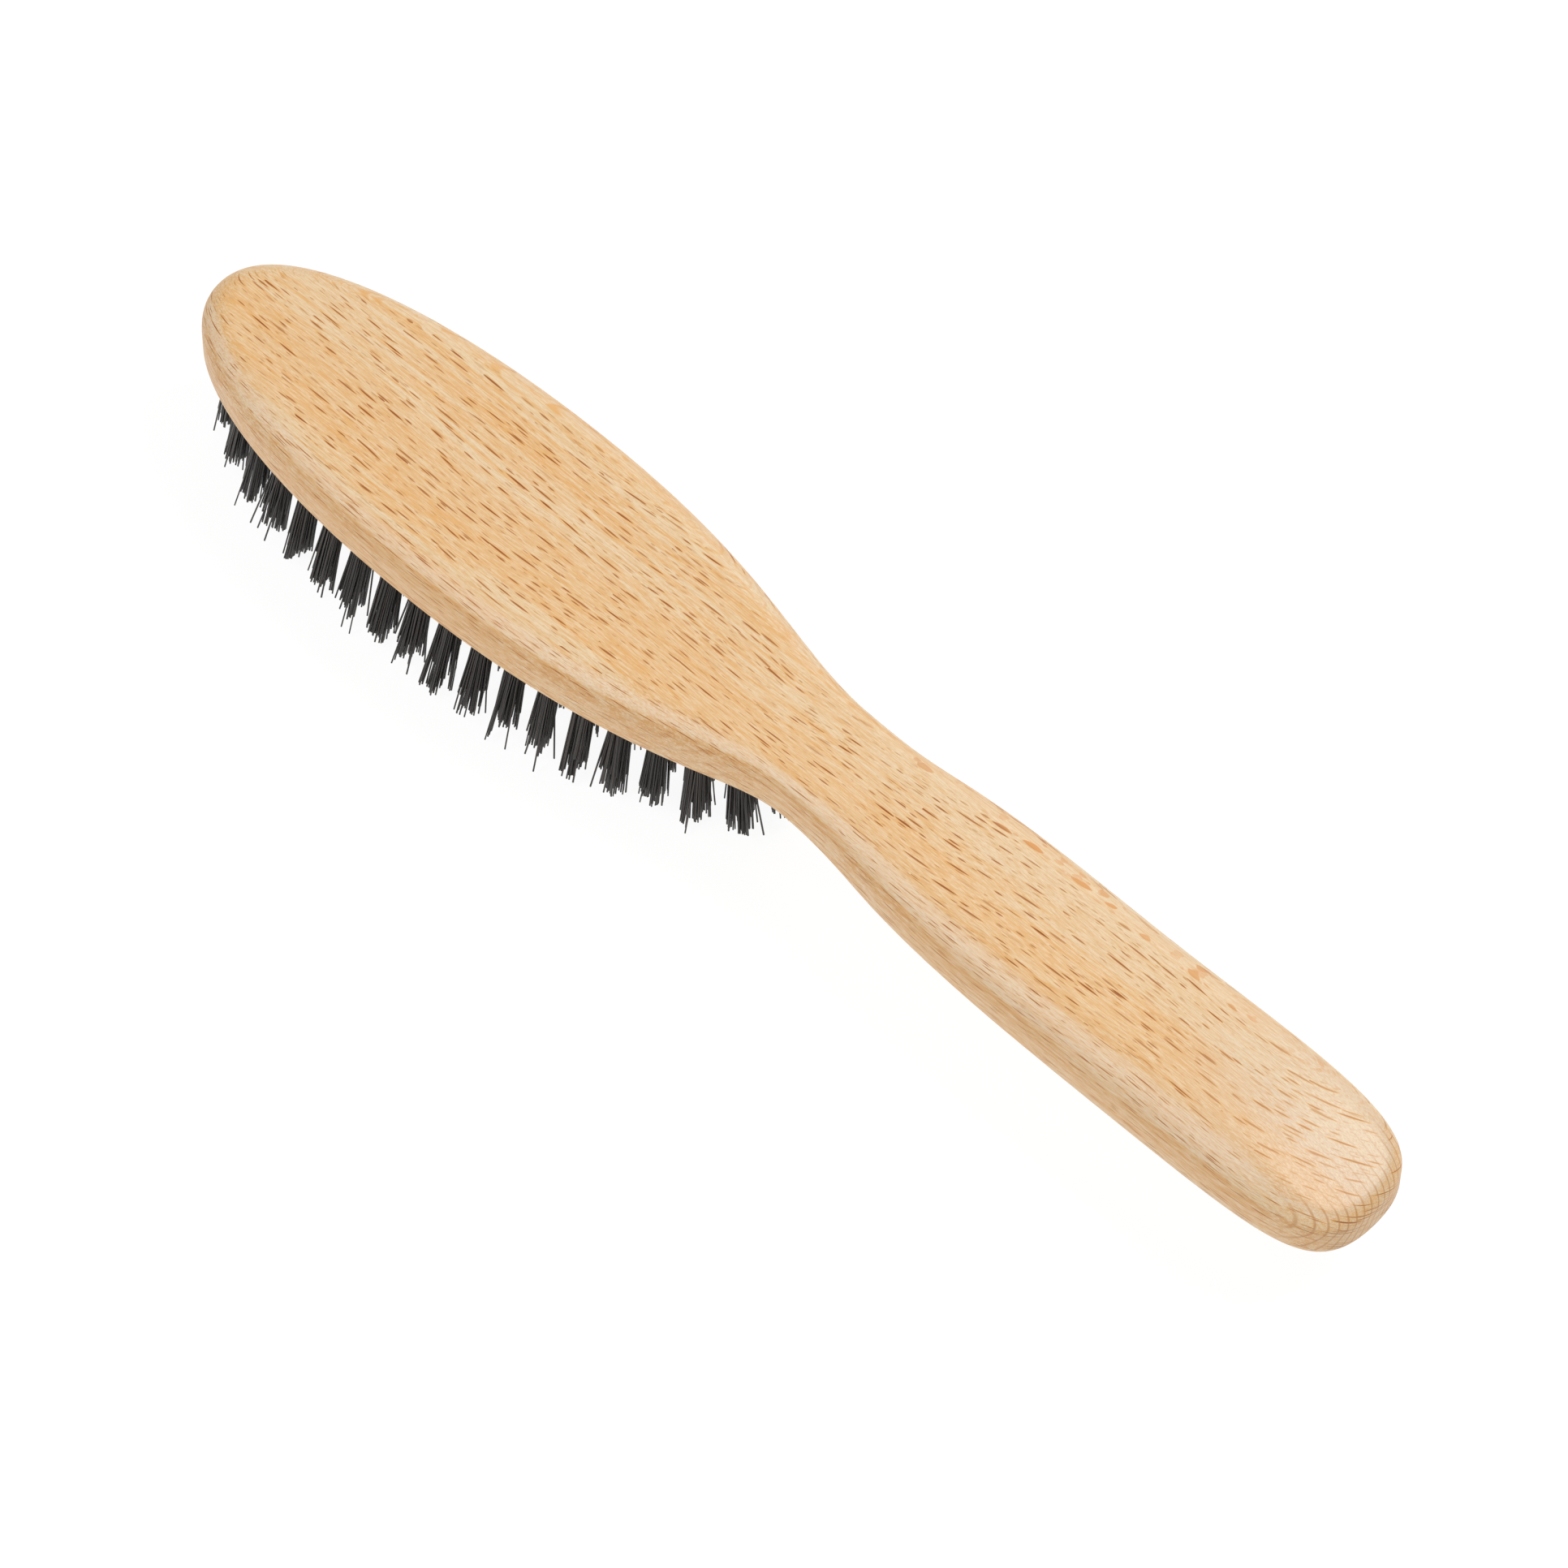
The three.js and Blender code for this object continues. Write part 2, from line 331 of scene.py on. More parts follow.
def wood_place(n):
    """Where a point is on the brush and in the grain, in mm, and which way its surface faces."""
    here = n.add("TexCoord")
    metric = n.vector("SCALE", here.outputs["Object"])
    metric.node.inputs["Scale"].default_value = 1 / MM
    turn = n.add("VectorRotate", {"Vector": metric, "Angle": SHEET_LEAN}, rotation_type="X_AXIS")
    level = turn.outputs[0]
    wander = n.add("TexNoise", {"Vector": cells_of(n, level, SWAY_SIZE), "Scale": 1.0, "Detail": 1.0})
    sway = n.vector("MULTIPLY", n.vector("SUBTRACT", wander.outputs["Color"], (0.5, 0.5, 0.5)), SWAY_REACH)
    across_sheets = (0, math.cos(SHEET_LEAN), -math.sin(SHEET_LEAN))
    facing = n.add("VectorMath", {0: here.outputs["Normal"], 1: across_sheets}, operation="DOT_PRODUCT")
    spot, normal = n.parts(metric), n.parts(here.outputs["Normal"])
    flush = n.ramp(n.math("ABSOLUTE", facing.outputs["Value"]), 0.93, 0.99)
    return SimpleNamespace(
        level=level,
        grain=n.vector("ADD", level, sway),
        x=spot["X"],
        y=spot["Y"],
        front=normal["X"],
        side=normal["Y"],
        top=normal["Z"],
        flush=flush,
        wide=n.product(flush, n.ramp(spot["X"], 0, 30)),
    )


def growth(n, at, streaks):
    """Broad growth bands and clouds, with streaks drawn out along the grain."""
    bands = n.noise(cells_of(n, at.grain, BAND_SIZE), 2.0, 0.55)
    cloud = n.noise(cells_of(n, at.level, CLOUD_SIZE), 1.0)
    colour = n.mix(n.ramp(bands, 0.38, 0.62), LIGHT_WOOD, WARM_WOOD)
    colour = n.mix(n.ramp(cloud, 0.35, 0.65, 0.0, 0.25), colour, PALE_WOOD)
    colour = n.mix(n.ramp(streaks, 0.49, 0.62, 0.0, 0.75), colour, ORANGE_WOOD)
    return n.mix(n.ramp(streaks, 0.49, 0.36, 0.0, 0.65), colour, PALE_WOOD)


def halves(n, at, streaks, colour):
    """The back is warmer left of its middle, and on the grip it is paler right of it."""
    flat = n.ramp(at.top, 0.8, 0.97)
    ragged = n.math("ADD", at.y, n.product(n.math("SUBTRACT", streaks, 0.5), RAGGEDNESS))
    left = n.product(n.ramp(ragged, -0.5, -6.0), n.ramp(at.y, -13.0, -10.5))
    colour = n.mix(n.product(left, flat, 0.5), colour, ORANGE_WOOD)
    right = n.product(n.ramp(ragged, 0.0, 4.0), n.ramp(at.x, 0, 40))
    return n.mix(n.product(right, flat, 0.4), colour, PALE_WOOD)


def left_edge_painted_light(n, at, streaks, colour):
    """Painted light on the left: a painted highlight along the back's left edge, and below it a painted
    shade band on the side, broken up by the grain's streaks.
    """
    height = n.math("ADD", at.top, n.ramp(at.x, 0, 60, 0.0, 0.18))
    # A painted highlight along the back's left edge, by which way the surface faces.
    edge = n.product(n.ramp(height, 0.58, 0.68), n.ramp(at.top, 0.97, 0.87), n.ramp(at.x, 108, 98))
    painted_edge_highlight = n.product(edge, n.ramp(at.side, -0.25, -0.5, 0.0, 0.55))
    colour = n.mix(painted_edge_highlight, colour, EDGE_HIGHLIGHT_WOOD)
    # A painted shade band on the left side below the edge, by which way the surface faces, broken up by the
    # grain's streaks.
    upper = n.product(n.ramp(at.top, -0.2, 0.2, 0.35, 1.0), n.ramp(height, 0.64, 0.48))
    painted_shade_band = n.product(upper, n.ramp(at.side, -0.45, -0.8), n.ramp(streaks, 0.42, 0.56, 0.35, 0.95))
    return n.mix(painted_shade_band, colour, SHADE_BAND_WOOD)


def fibres(n, fibre, pores, colour):
    """Fine pale and dark fibres, and darker pores."""
    colour = n.mix(n.ramp(fibre, 0.48, 0.64, 0.0, 0.5), colour, LIGHT_FIBRE)
    colour = n.mix(n.ramp(fibre, 0.48, 0.32, 0.0, 0.45), colour, DARK_FIBRE)
    return n.mix(n.ramp(pores, 0.54, 0.68, 0.0, 0.25), colour, PORE)


def ray_flecks(n, at, cell, half, share, shift):
    """The cores and halos of one size of ray flecks, at most one to a cell.

    Where the sheets lie flush with the grip's surface, flecks are broader and every cell has one.
    """
    spot = n.vector("ADD", cells_of(n, at.grain, cell), shift)
    cells = n.add("TexVoronoi", {"Vector": spot, "Scale": 1.0, "Randomness": 1.0})
    chance = n.add("SeparateColor", {"Color": cells.outputs["Color"]}).outputs
    away = n.vector("SUBTRACT", spot, cells.outputs["Position"])
    part = n.parts(n.vector("DIVIDE", away, tuple(h / c for h, c in zip(half, cell))))
    length = n.math("ADD", RAY_LEAST_LENGTH, n.product(chance[2], RAY_LENGTH_RANGE))
    along_grain = n.math("POWER", n.math("ABSOLUTE", n.math("DIVIDE", part["X"], length)), 2.0)
    down_sheet = n.math("POWER", n.math("ABSOLUTE", part["Z"]), 4.0)
    thinness = n.rest(n.product(at.wide, WIDE_RAY_THINNING))
    through = n.product(n.math("ABSOLUTE", part["Y"]), thinness)
    lens = n.math("SUBTRACT", n.math("SUBTRACT", n.rest(along_grain), down_sheet), through)
    kept = n.math("MAXIMUM", n.ramp(chance[0], share, share - RAY_FADE), at.wide)
    tone = n.product(kept, n.math("ADD", 0.7, n.product(chance[1], 0.3)))
    return n.product(n.ramp(lens, 0.0, 0.25), tone), n.product(n.ramp(lens, -HALO_REACH, 0.3), tone)


def all_flecks(n, at):
    """The cores and the halos of all ray flecks. On the head, sheets that lie flush don't show."""
    cores, halos = 0.0, 0.0
    for cell, half, share, shift, core_strength, halo_strength in RAYS:
        core, halo = ray_flecks(n, at, cell, half, share, shift)
        cores = n.math("MAXIMUM", cores, n.product(core, core_strength))
        halos = n.math("MAXIMUM", halos, n.product(halo, halo_strength))
    return n.product(cores, n.rest(n.math("SUBTRACT", at.flush, at.wide))), halos


def end_rings(n, at, colour):
    """The growth rings show as thin lines where the grip's end cuts across them."""
    depth = n.math("DIVIDE", n.parts(at.grain)["Z"], RING_PITCH)
    line = n.ramp(n.math("PINGPONG", depth, 0.5), 0.16, 0.02)
    return n.mix(n.product(line, n.ramp(at.front, 0.12, 0.45, 0.0, 0.65)), colour, RING_LINE)


def beech():
    """Beech with a satin finish, whose pores and flecks are a little rougher."""
    n = Nodes("oiled_beech")
    at = wood_place(n)
    streaks = n.noise(cells_of(n, at.grain, STREAK_SIZE), 3.0, 0.65)
    fibre = n.noise(cells_of(n, at.grain, FIBRE_SIZE), 1.0)
    pores = n.noise(cells_of(n, at.grain, PORE_SIZE), 0.0)
    # A painted highlight: the grip's back is paler where it turns down to the end.
    painted_end_highlight = n.product(n.ramp(at.x, 74, 106), n.ramp(at.top, 0.55, 0.95), n.ramp(at.front, 0.8, 0.5))
    colour = n.mix(n.product(painted_end_highlight, 0.8), growth(n, at, streaks), END_HIGHLIGHT_WOOD)
    colour = halves(n, at, streaks, colour)
    colour = left_edge_painted_light(n, at, streaks, colour)
    colour = fibres(n, fibre, pores, colour)

    marks, halo = all_flecks(n, at)
    colour = n.mix(n.product(halo, n.rest(at.wide)), colour, RAY_HALO)
    ray = n.mix(at.wide, DARK_RAY, WIDE_RAY)
    # Ray marks fade under the painted end highlight.
    colour = n.mix(n.product(marks, n.rest(n.product(painted_end_highlight, 0.5))), colour, ray)
    colour = end_rings(n, at, colour)

    relief = n.math("SUBTRACT", n.product(fibre, 0.5), n.product(pores, 0.4))
    bump = n.add("Bump", {"Strength": 0.3, "Distance": BUMP_HEIGHT * MM, "Height": relief})
    gloss = n.math("ADD", 0.39, n.product(n.math("SUBTRACT", fibre, 0.5), 0.25))
    gloss = n.math("ADD", gloss, n.product(n.math("MAXIMUM", pores, marks), 0.15))
    return n.finish(Base_Color=colour, Roughness=gloss, Normal=bump.outputs[0], Specular_IOR_Level=0.55)


def bristle():
    """Dark bristle: each has its own shade, and is mottled along its length."""
    n = Nodes("dark_bristle")
    tint = n.add("Attribute", attribute_name="tint").outputs["Fac"]
    where = n.add("TexCoord").outputs["Object"]
    mottle = n.noise(n.vector("MULTIPLY", where, BRISTLE_MOTTLE), 2.0)
    shade = n.math("ADD", n.product(tint, 0.75), n.product(mottle, 0.25))
    colour = n.mix(shade, DARK_BRISTLE, LIGHT_BRISTLE)
    return n.finish(Base_Color=colour, Roughness=0.42, Specular_IOR_Level=0.5)


def anchor_wire():
    """Flat wire with fine lines along it from drawing."""
    n = Nodes("anchor_wire")
    where = n.add("TexCoord").outputs["Object"]
    drawn = n.noise(n.vector("MULTIPLY", where, WIRE_LINES), 3.0)
    colour = n.mix(drawn, DARK_WIRE, LIGHT_WIRE)
    gloss = n.ramp(drawn, 0.2, 0.8, 0.25, 0.5)
    return n.finish(Base_Color=colour, Roughness=gloss, Metallic=1.0)


def light_table():
    """White paper on a lit table, which keeps the object's shadow faint."""
    n = Nodes("light_table")
    cloud = n.noise(n.add("TexCoord").outputs["Object"], 2.0, scale=3.0)
    colour = n.mix(cloud, DARK_PAPER, LIGHT_PAPER)
    return n.finish(
        Base_Color=colour,
        Roughness=0.9,
        Specular_IOR_Level=0.1,
        Emission_Color=(1.0, 1.0, 1.0, 1.0),
        Emission_Strength=0.93,
    )


# ---------------------------------------------------------------- body


def bezier(points, t):
    """A point on an arc, and the arc's outward normal there."""
    u = 1 - t
    weights = (u**3, 3 * u * u * t, 3 * u * t * t, t**3)
    x = sum(w * p[0] for w, p in zip(weights, points))
    y = sum(w * p[1] for w, p in zip(weights, points))
    steps = [(b[0] - a[0], b[1] - a[1]) for a, b in zip(points, points[1:])]
    turn = (u * u, 2 * u * t, t * t)
    dx = sum(w * s[0] for w, s in zip(turn, steps))
    dy = sum(w * s[1] for w, s in zip(turn, steps))
    size = math.hypot(dx, dy)
    return x, y, -dy / size, dx / size


OUTLINE = (
    (
        (0, 0),
        (0, TIP_BLUNTNESS),
        (HEAD_WIDEST_X - HEAD_FRONT_FULLNESS, HEAD_HALF_WIDTH),
        (HEAD_WIDEST_X, HEAD_HALF_WIDTH),
    ),
    (
        (HEAD_WIDEST_X, HEAD_HALF_WIDTH),
        (HEAD_WIDEST_X + HEAD_REAR_FULLNESS, HEAD_HALF_WIDTH),
        (NECK_X - NECK_FRONT_FULLNESS, NECK_HALF_WIDTH),
        (NECK_X, NECK_HALF_WIDTH),
    ),
    (
        (NECK_X, NECK_HALF_WIDTH),
        (NECK_X + NECK_REAR_FULLNESS, NECK_HALF_WIDTH),
        (GRIP_WIDEST_X - GRIP_FRONT_FULLNESS, GRIP_HALF_WIDTH),
        (GRIP_WIDEST_X, GRIP_HALF_WIDTH),
    ),
    (
        (GRIP_WIDEST_X, GRIP_HALF_WIDTH),
        (GRIP_WIDEST_X + GRIP_REAR_FULLNESS, GRIP_HALF_WIDTH),
        (BODY_LENGTH, END_BLUNTNESS),
        (BODY_LENGTH, 0),
    ),
)


def stations(steps_per_arc):
    """Points on half the outline with their outward normals, from the tip to the grip's end."""
    found = []
    for arc, steps in zip(OUTLINE, steps_per_arc):
        first = 1 if found else 0
        found += [bezier(arc, s / steps) for s in range(first, steps + 1)]
    return found


def smoothstep(x, low, high):
    t = min(max((x - low) / (high - low), 0), 1)
    return t * t * (3 - 2 * t)


def along(x, head, grip, start=BLEND_START_X):
    """A measure that changes smoothly from the head's to the grip's."""
    return head + (grip - head) * smoothstep(x, start, BLEND_END_X)


def end_roll(x):
    """How far the grip's end has rolled over, from 0 to 1."""
    part = min(max((x - BODY_LENGTH + END_ROLL_LENGTH) / END_ROLL_LENGTH, 0), 1)
    return part**END_ROLL_POWER


def waist(x):
    return math.exp(-(((x - WAIST_X) / WAIST_REACH) ** 2))


def top_at(x):
    return along(x, HEAD_THICKNESS, GRIP_TOP) - END_ROLL_TOP * end_roll(x)


def bottom_at(x):
    drop = along(x, 0, GRIP_TOP - GRIP_THICKNESS)
    return drop + WAIST_SCOOP * waist(x) + END_ROLL_BOTTOM * end_roll(x)


def edge_radius(x, is_top):
    if is_top:
        side = along(x, HEAD_TOP_RADIUS, GRIP_TOP_RADIUS) - WAIST_EDGE_CUT * waist(x)
    else:
        side = along(x, HEAD_LOWER_RADIUS, GRIP_LOWER_RADIUS, LOWER_EDGE_START_X)
    return side + (END_EDGE_RADIUS - side) * end_roll(x)


def body_ring(half, degrees, is_top, extra=0.0):
    """One level of the body, tip first, then the left side, the end and the right side."""
    angle = math.radians(degrees)
    side = []
    for x, y, nx, ny in half:
        radius = edge_radius(x, is_top)
        inset = radius * (1 - math.cos(angle)) + extra
        rise = radius * (1 - math.sin(angle))
        at = x - inset * nx
        z = top_at(at) - rise if is_top else bottom_at(at) + rise
        side.append((at, y - inset * ny, z))
    tip, end = side[0], side[-1]
    left = [(x, -y, z) for x, y, z in side[1:-1]]
    return [(tip[0], 0, tip[2]), *left, (end[0], 0, end[2]), *reversed(side[1:-1])]


def body_blank():
    """The body before drilling: rings from the underside up to the back, closed by strips across."""
    half = stations(OUTLINE_STEPS)
    rings = [body_ring(half, 90, False, LOWER_BORDER)]
    rings += [body_ring(half, 90 * i / LOWER_EDGE_STEPS, False) for i in range(LOWER_EDGE_STEPS, -1, -1)]
    rings += [body_ring(half, 90 * i / TOP_EDGE_STEPS, True) for i in range(TOP_EDGE_STEPS + 1)]
    rings.append(body_ring(half, 90, True, TOP_BORDER))
    count = len(rings[0])
    verts = [place(*p) for ring in rings for p in ring]
    faces = []
    for r in range(len(rings) - 1):
        for i in range(count):
            a, b = r * count + i, r * count + (i + 1) % count
            faces.append((a, b, b + count, a + count))
    last = (len(rings) - 1) * count
    for i in range(count // 2):
        quad = [(count - i) % count, i, i + 1, count - i - 1]
        flat = list(dict.fromkeys(quad))
        faces.append(flat[::-1])
        faces.append([last + v for v in flat])
    return verts, faces


# ---------------------------------------------------------------- tuft places


def spaced(points, gaps):
    """Points at even distances along a line of points."""
    reach = [0.0]
    for a, b in zip(points, points[1:]):
        reach.append(reach[-1] + math.dist(a, b))
    found = []
    k = 0
    for g in range(gaps + 1):
        want = reach[-1] * g / gaps
        while k < len(points) - 2 and reach[k + 1] < want:
            k += 1
        t = (want - reach[k]) / (reach[k + 1] - reach[k])
        found.append(tuple(p + t * (q - p) for p, q in zip(points[k], points[k + 1])))
    return found


def ring_inset(x):
    """How far the outer ring of tufts stands in from the outline."""
    near_tip = max(1 - x / RING_TIP_REACH, 0)
    near_end = max((x - RING_CLOSE_X) / (RING_END_X - RING_CLOSE_X), 0)
    return RING_INSET + RING_TIP_DRAW_IN * near_tip**2 + RING_END_DRAW_IN * near_end**2


def ring_places():
    """The outer ring's roots on one side, from the tip to the neck."""
    half = stations(RING_STEPS)
    inset = [(x - ring_inset(x) * nx, y - ring_inset(x) * ny) for x, y, nx, ny in half]
    return spaced([p for p in inset if p[0] <= RING_END_X], RING_GAPS_PER_SIDE)


def tuft_places():
    """Every tuft's name, the CAD node it stands for and its root on the head's underside."""
    ring = ring_places()
    side = ring[2:]
    inner = [((a[0] + b[0]) / 2, (a[1] + b[1]) / 4) for a, b in zip(side, side[1:-1])]
    centre = [x for x, y in side]
    centre[-1] += END_TUFT_STEP
    found = [("tuft_tip_centre", "tuft_tip_centre", (ring[0][0], 0))]
    for word, sign in (("right", 1), ("left", -1)):
        found.append((f"tuft_tip_{word}", f"tuft_tip_{word}", (ring[1][0], sign * ring[1][1])))
        for i, (x, y) in enumerate(side):
            name = f"tuft_{word}_{i + 1:02d}"
            found.append((name, name, (x, sign * y)))
        for i, (x, y) in enumerate(inner):
            found.append((f"tuft_inner_{word}_{i + 1:02d}", f"inner_row_{word}", (x, sign * y)))
    for i, x in enumerate(centre):
        name = f"tuft_centre_{i + 1:02d}"
        found.append((name, name, (x, 0)))
    return found


def axis_point(root, z):
    """Where a tuft's axis is at height z: the tufts splay sideways and fan out along the head."""
    x, y = root
    return x - z * FAN_PER_MM * (x - HEAD_WIDEST_X), y - z * SPLAY_PER_MM * y


# ---------------------------------------------------------------- body with its holes


def hole_cutter(roots):
    """One slanted prism for each hole, from below the underside to the hole's bottom."""
    verts, faces = [], []
    sides = HOLE_SIDES
    for root in roots:
        base = len(verts)
        for z in (-HOLE_OVERCUT, HOLE_DEPTH):
            cx, cy = axis_point(root, z)
            for i in range(sides):
                a = 2 * math.pi * i / sides
                verts.append(place(cx + HOLE_RADIUS * math.cos(a), cy + HOLE_RADIUS * math.sin(a), z))
        for i in range(sides):
            j = (i + 1) % sides
            faces.append((base + i, base + j, base + sides + j, base + sides + i))
        faces.append(tuple(base + i for i in reversed(range(sides))))
        faces.append(tuple(base + sides + i for i in range(sides)))
    return new_object("hole_cutter", verts, faces, smooth=False)


def make_body(roots, material):
    verts, faces = body_blank()
    piece = new_object("beech_body", verts, faces, material)
    cutter = hole_cutter(roots)
    cut = piece.modifiers.new("holes", "BOOLEAN")
    cut.object = cutter
    cut.operation = "DIFFERENCE"
    cut.solver = "EXACT"
    bpy.context.view_layer.update()
    shaped = bpy.data.meshes.new_from_object(piece.evaluated_get(bpy.context.evaluated_depsgraph_get()))
    piece.modifiers.clear()
    piece.data = shaped
    bpy.data.objects.remove(cutter)
    shaped.shade_smooth()
    shaped.set_sharp_from_angle(angle=math.radians(HOLE_EDGE_ANGLE))
    stand_in(piece, "brush_body")


# ---------------------------------------------------------------- tufts


def disc_point(i, count):
    """The i-th of count points spread evenly over a disc of radius 1."""
    reach = math.sqrt((i + 0.5) / count)
    turn = i * math.pi * (3 - math.sqrt(5))
    return reach * math.cos(turn), reach * math.sin(turn)


def tip_clumps():
    """Where a tuft's clumps stand, how far each stays above the longest tips, and how it leans."""
    found = []
    for _ in range(CLUMPS_PER_TUFT):
        u, v = rng.uniform(-1, 1), rng.uniform(-1, 1)
        short = (1 - RISE_TAPER) * rng.random() ** RISE_POWER + RISE_TAPER * min(math.hypot(u, v), 1)
        lean = (rng.gauss(0, CLUMP_LEAN), rng.gauss(0, CLUMP_LEAN))
        found.append((u, v, LEAST_RISE + RISE_RANGE * short, lean))
    return found


def free_end(root, here, clumps):
    """Where one end of a bristle has its tip: its reach along and across the anchor, and its height."""
    clump = min(clumps, key=lambda c: math.dist(c[:2], here))
    rise = clump[2] + abs(rng.gauss(0, RISE_JITTER))
    drift = TIP_DRIFT
    if rng.random() < STRAY_SHARE:
        rise, drift = rng.uniform(*STRAY_RISE), STRAY_DRIFT
    near_end = max((root[0] - END_FAN_START) / (RING_END_X - END_FAN_START), 0)
    fan = END_FAN * near_end * (1 + here[0])
    end_u = here[0] * BUNDLE_TIP_RADIUS + clump[3][0] + rng.gauss(0, drift) + fan
    end_v = here[1] * BUNDLE_TIP_RADIUS + clump[3][1] + rng.gauss(0, drift)
    return end_u, end_v, rise - FREE_LENGTH


def bristle_path(root, u, v, heading, clumps):
    """One bristle from tip to tip, folded over the anchor. u lies along the anchor and v across it."""

    def at(z, reach_u, reach_v):
        cx, cy = axis_point(root, z)
        dx, dy = anchor_offset(heading, reach_u, reach_v)
        return place(cx + dx, cy + dy, z)

    def leg(side):
        """From a tip up into the hole, with a slight bend halfway."""
        end_u, end_v, z = free_end(root, (u, side * v), clumps)
        in_u, in_v = u * BUNDLE_ROOT_RADIUS, side * v * BUNDLE_ROOT_RADIUS
        half_u = (in_u + end_u) / 2 + rng.gauss(0, BEND_DRIFT)
        half_v = (in_v + end_v) / 2 + rng.gauss(0, BEND_DRIFT)
        tip, bend = at(z, end_u, end_v), at(z * 0.5, half_u, half_v)
        return [tip, bend, at(BUNDLE_ENTRY_Z, in_u, in_v), at(ANCHOR_TOP, in_u, in_v)]

    fold = at(ANCHOR_TOP + abs(v) * BUNDLE_ROOT_RADIUS + BRISTLE_RADIUS, u * BUNDLE_ROOT_RADIUS, 0)
    one, two = leg(1), leg(-1)
    return [*one, fold, *reversed(two)]


def sweep(path, radius, sides, verts, faces):
    """Adds a tube with closed ends along a path."""
    base = len(verts)
    side_way = None
    for i, point in enumerate(path):
        before, after = path[max(i - 1, 0)], path[min(i + 1, len(path) - 1)]
        way = (after - before).normalized()
        if side_way is None:
            side_way = way.orthogonal().normalized()
        side_way = (side_way - way * side_way.dot(way)).normalized()
        across = way.cross(side_way)
        for s in range(sides):
            a = 2 * math.pi * s / sides
            verts.append(point + radius * (math.cos(a) * side_way + math.sin(a) * across))
    for i in range(len(path) - 1):
        for s in range(sides):
            a, b = base + i * sides + s, base + i * sides + (s + 1) % sides
            faces.append((a, b, b + sides, a + sides))
    faces.append(tuple(base + s for s in reversed(range(sides))))
    last = base + (len(path) - 1) * sides
    faces.append(tuple(last + s for s in range(sides)))


def make_tuft(name, node, root, heading, material):
    """A bundle of folded bristles, each with its own tint."""
    verts, faces, tints = [], [], []
    clumps = tip_clumps()
    for i in range(BRISTLES_PER_TUFT):
        u, v = disc_point(i, BRISTLES_PER_TUFT)
        path = bristle_path(root, u, FOLD_GAP + (1 - FOLD_GAP) * abs(v), heading, clumps)
        before = len(faces)
        radius = BRISTLE_RADIUS * MM * rng.uniform(*BRISTLE_RADIUS_RANGE)
        sweep(path, radius, BRISTLE_SIDES, verts, faces)
        tints += [rng.random()] * (len(faces) - before)
    piece = new_object(name, verts, faces, material)
    layer = piece.data.attributes.new("tint", "FLOAT", "FACE")
    layer.data.foreach_set("value", tints)
    piece.data.set_sharp_from_angle(angle=math.radians(BRISTLE_EDGE_ANGLE))
    stand_in(piece, node)


def make_anchor(name, node, root, heading, material):
    """A piece of flat wire, bowed a little by being driven in, with its edges eased."""
    verts, faces = [], []
    for i in range(ANCHOR_STEPS + 1):
        u = (i / ANCHOR_STEPS - 0.5) * ANCHOR_WIDTH
        lift = ANCHOR_BOW * (1 - (2 * u / ANCHOR_WIDTH) ** 2)
        for side in (-0.5, 0.5):
            for level in (0, 1):
                z = ANCHOR_TOP - ANCHOR_HEIGHT * level - lift
                cx, cy = axis_point(root, z)
                dx, dy = anchor_offset(heading, u, side * ANCHOR_THICKNESS)
                verts.append(place(cx + dx, cy + dy, z))
    order = (0, 2, 3, 1)
    for i in range(ANCHOR_STEPS):
        for a, b in zip(order, order[1:] + order[:1]):
            faces.append((4 * i + b, 4 * i + a, 4 * i + 4 + a, 4 * i + 4 + b))
    faces.append(order)
    faces.append(tuple(4 * ANCHOR_STEPS + k for k in reversed(order)))
    piece = new_object(name, verts, faces, material, smooth=False)
    form = bmesh.new()
    form.from_mesh(piece.data)
    bmesh.ops.recalc_face_normals(form, faces=form.faces)
    sharp = [e for e in form.edges if e.calc_face_angle(0) > math.radians(ANCHOR_EDGE_ANGLE)]
    bmesh.ops.bevel(form, geom=sharp, offset=ANCHOR_EASE * MM, segments=2, affect="EDGES", profile=0.5)
    form.to_mesh(piece.data)
    form.free()
    stand_in(piece, node)


# ---------------------------------------------------------------- floor, light and camera


# The floor, the lights and the camera are in metres.
FLOOR_HALF_SIZE = 6.0
WORLD_STRENGTH = 0.14
LIGHT_DISTANCE = 1.3

# Each softbox: the way to it from the brush, its size in metres and its power in watts
SOFTBOXES = {
    "softbox_over_grip": ((0.28, 0.40, 0.87), (0.5, 0.5), 9.6),
    "softbox_over_head": ((-0.43, 0.385, 0.815), (0.4, 0.4), 0.7),
    "softbox_front": ((-0.36, -0.35, 0.865), (0.7, 0.5), 3.6),
    "softbox_left": ((-0.24, -0.80, 0.55), (0.5, 0.45), 4.4),
    "softbox_right": ((-0.25, 0.90, 0.33), (1.0, 0.35), 4.0),
    "softbox_end": ((0.75, -0.45, 0.48), (0.5, 0.5), 2.2),
}

CAMERA_AZIMUTH = math.radians(41.8)
CAMERA_ELEVATION = math.radians(57.0)
CAMERA_ROLL = math.radians(1.24)
CAMERA_DISTANCE = 1.33
CAMERA_LENS = 201.2
SENSOR_WIDTH = 36.0
# The point that the camera is set out from, and how far right of it and below it the picture's centre is
CAMERA_TARGET = (0, 0, 0.026)
CENTRE_RIGHT = 0.43 * MM
CENTRE_BELOW = 10.04 * MM


def make_floor(material):
    size = FLOOR_HALF_SIZE
    verts = [(-size, -size, 0), (size, -size, 0), (size, size, 0), (-size, size, 0)]
    floor = new_object("floor", verts, [(0, 1, 2, 3)], material, smooth=False)


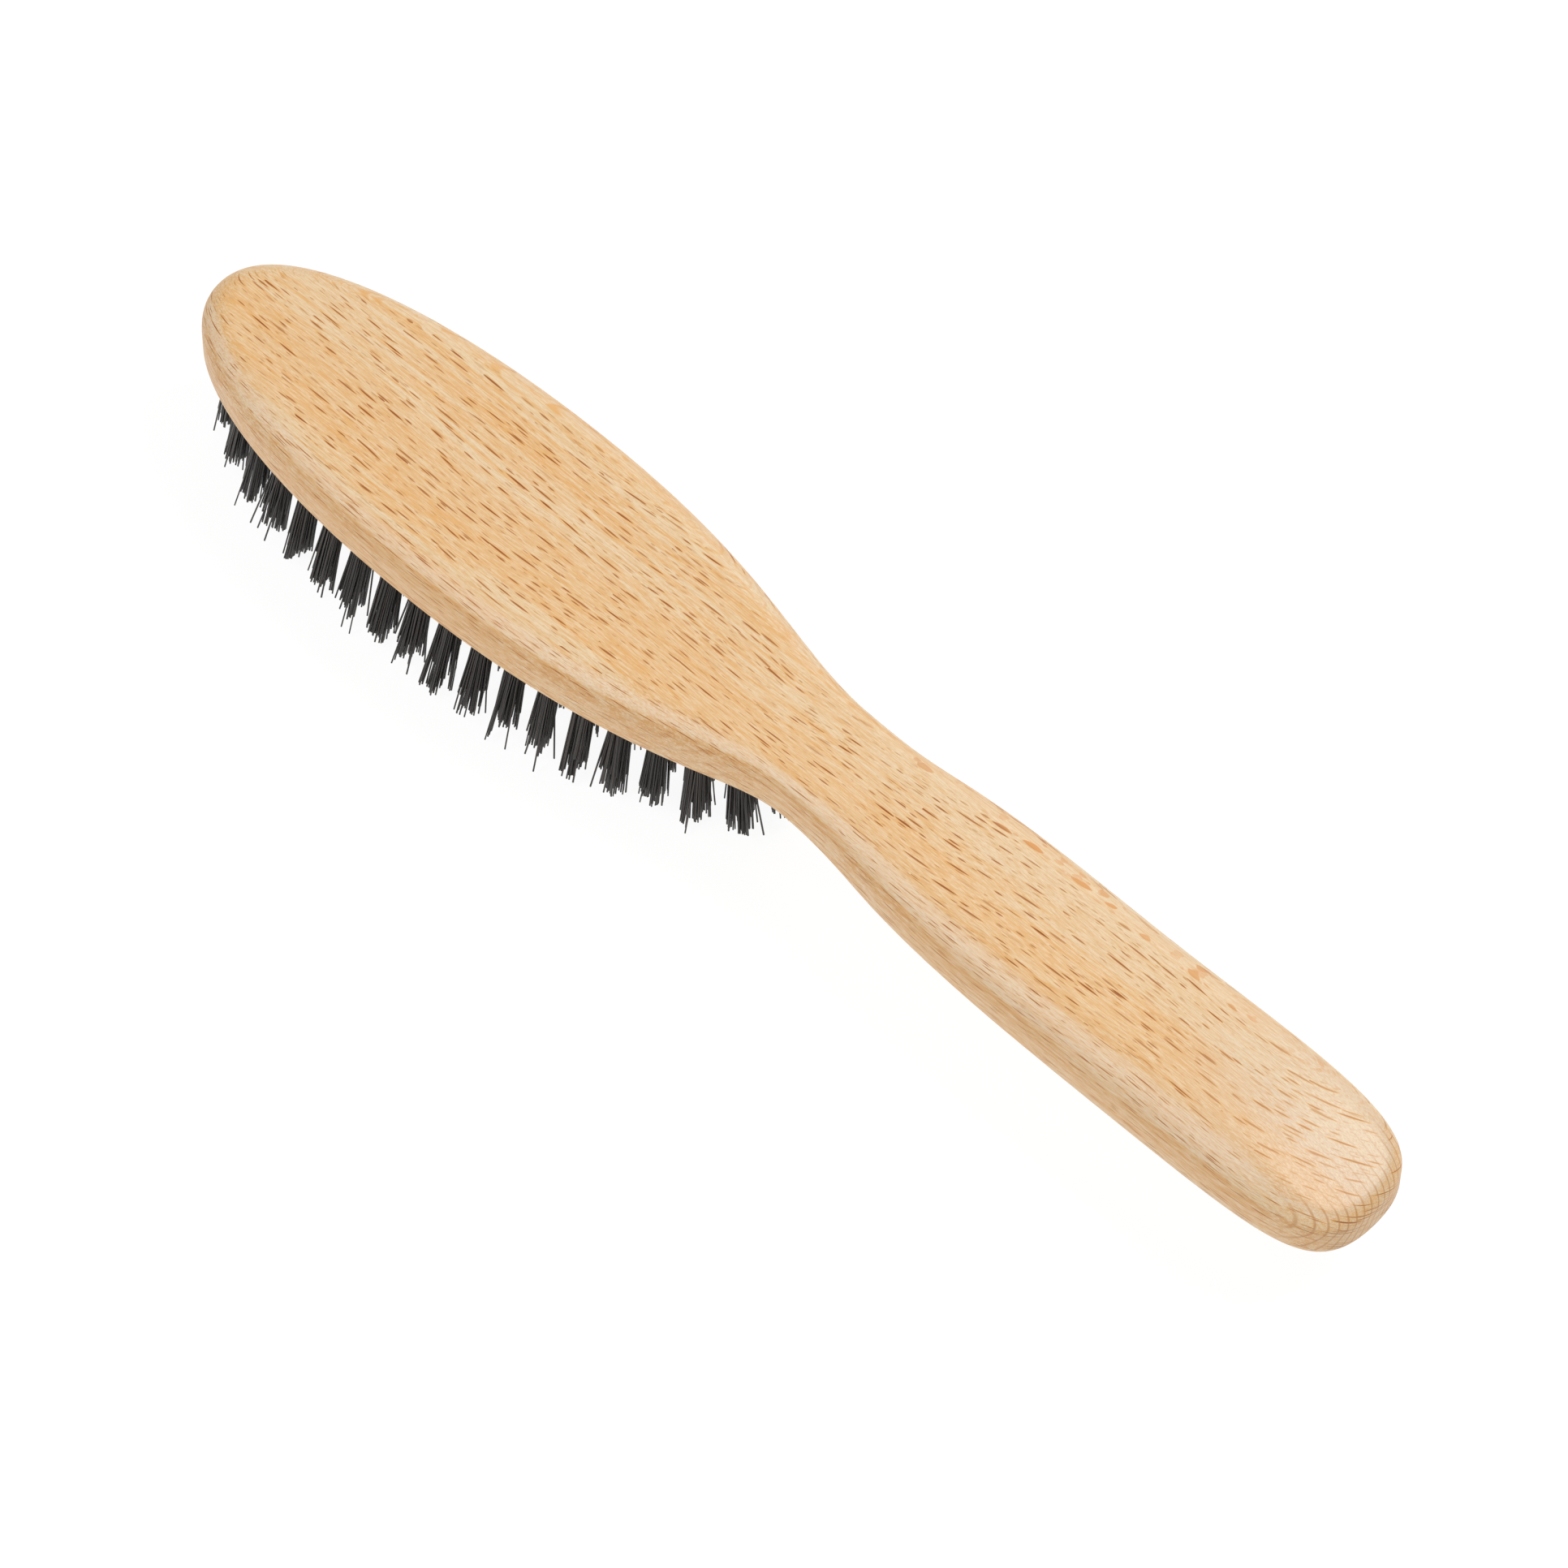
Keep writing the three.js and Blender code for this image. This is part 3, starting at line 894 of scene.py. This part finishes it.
def soft_light(name, direction, size, power):
    lamp = bpy.data.lights.new(name, "AREA")
    lamp.shape = "RECTANGLE"
    lamp.size, lamp.size_y = size
    lamp.energy = power
    stand = bpy.data.objects.new(name, lamp)
    stand.visible_camera = False
    way = Vector(direction).normalized()
    stand.location = way * LIGHT_DISTANCE
    stand.rotation_mode = "QUATERNION"
    stand.rotation_quaternion = (-way).to_track_quat("-Z", "Y")
    bpy.context.scene.collection.objects.link(stand)


def make_world():
    world = bpy.data.worlds.new("studio")
    world.use_nodes = True
    back = world.node_tree.nodes["Background"]
    back.inputs["Color"].default_value = (1, 1, 1, 1)
    back.inputs["Strength"].default_value = WORLD_STRENGTH
    bpy.context.scene.world = world


def make_camera():
    flat = math.cos(CAMERA_ELEVATION)
    rise = math.sin(CAMERA_ELEVATION)
    back = Vector((math.sin(CAMERA_AZIMUTH) * flat, -math.cos(CAMERA_AZIMUTH) * flat, rise))
    right = Vector((math.cos(CAMERA_AZIMUTH), math.sin(CAMERA_AZIMUTH), 0))
    up = back.cross(right)
    tilt = Matrix.Rotation(CAMERA_ROLL, 3, back)
    right, up = tilt @ right, tilt @ up
    target = Vector(CAMERA_TARGET)
    eye = target + back * CAMERA_DISTANCE
    aim = target + right * CENTRE_RIGHT - up * CENTRE_BELOW
    back = (eye - aim).normalized()
    right = up.cross(back).normalized()
    up = back.cross(right)
    data = bpy.data.cameras.new("camera")
    data.sensor_width = SENSOR_WIDTH
    data.lens = CAMERA_LENS
    camera = bpy.data.objects.new("camera", data)
    turn = Matrix((right, up, back)).transposed()
    camera.matrix_world = Matrix.Translation(eye) @ turn.to_4x4()
    bpy.context.scene.collection.objects.link(camera)
    bpy.context.scene.camera = camera


# ---------------------------------------------------------------- the scene


def main():
    make_camera()
    wood, dark, wire = beech(), bristle(), anchor_wire()
    tufts = tuft_places()
    make_body([root for _, _, root in tufts], wood)
    for name, node, root in tufts:
        heading = rng.gauss(0, TUFT_TURN)
        make_tuft(name.replace("tuft", "bristles"), node, root, heading, dark)
        make_anchor(name.replace("tuft", "anchor"), node, root, heading, wire)
    make_floor(light_table())
    make_world()
    for name, (direction, size, power) in SOFTBOXES.items():
        soft_light(name, direction, size, power)
    scene = bpy.context.scene
    scene.view_settings.view_transform = "Standard"
    scene.view_settings.look = "None"


main()
